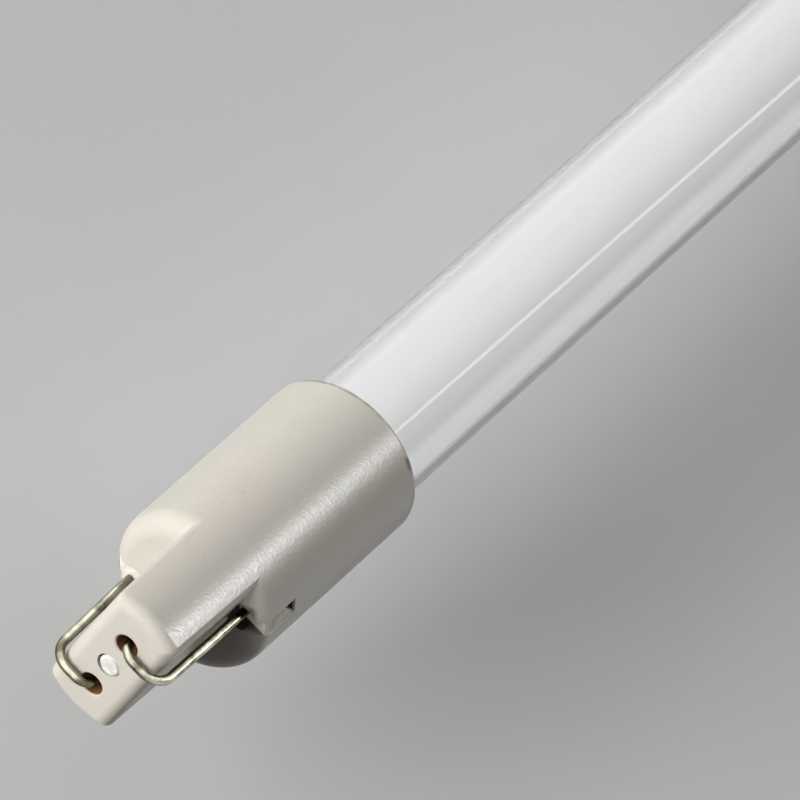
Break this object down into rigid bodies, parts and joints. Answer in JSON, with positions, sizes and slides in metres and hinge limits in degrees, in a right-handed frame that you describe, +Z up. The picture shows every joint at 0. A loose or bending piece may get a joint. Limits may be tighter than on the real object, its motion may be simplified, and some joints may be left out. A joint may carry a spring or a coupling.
{
  "type": "tubular quartz discharge lamp",
  "caption": "Straight clear quartz discharge lamp with a pressed ceramic cap on each end, whose bent wire contacts hook over an upright slab.",
  "frame": {"origin": "middle of the lamp's axis, halfway between its two caps", "axes": "+X along the lamp from the front cap to the rear cap, +Z up along the caps' slabs, Y across the slabs. The lamp is a round rod that rolls, so it has no rest of its own."},
  "size_m": [0.2148, 0.0198, 0.0198],
  "materials": {
    "quartz": "clear, polished",
    "ceramic": "satin, pressed and fired, fine grain",
    "cement": "matt, rough",
    "nickel": "bright drawn wire",
    "molybdenum": "drawn, satin",
    "coated_tungsten": "pale oxide coating on the coil",
    "mercury": "liquid metal"
  },
  "bodies": {
    "root": {"quartz_tube": "quartz", "mercury_bead": "mercury", "front_ceramic_cap": "ceramic", "front_basing_cement": "cement", "front_centre_plug": "cement", "front_filament": "coated_tungsten", "front_upper_slot_cement": "cement", "front_upper_terminal_wire": "nickel", "front_upper_outer_lead": "molybdenum", "front_upper_ferrule": "nickel", "front_upper_seal_foil": "molybdenum", "front_upper_inner_lead": "molybdenum", "front_lower_slot_cement": "cement", "front_lower_terminal_wire": "nickel", "front_lower_outer_lead": "molybdenum", "front_lower_ferrule": "nickel", "front_lower_seal_foil": "molybdenum", "front_lower_inner_lead": "molybdenum", "rear_ceramic_cap": "ceramic", "rear_basing_cement": "cement", "rear_centre_plug": "cement", "rear_filament": "coated_tungsten", "rear_upper_slot_cement": "cement", "rear_upper_terminal_wire": "nickel", "rear_upper_outer_lead": "molybdenum", "rear_upper_ferrule": "nickel", "rear_upper_seal_foil": "molybdenum", "rear_upper_inner_lead": "molybdenum", "rear_lower_slot_cement": "cement", "rear_lower_terminal_wire": "nickel", "rear_lower_outer_lead": "molybdenum", "rear_lower_ferrule": "nickel", "rear_lower_seal_foil": "molybdenum", "rear_lower_inner_lead": "molybdenum"}
  },
  "joints": []
}
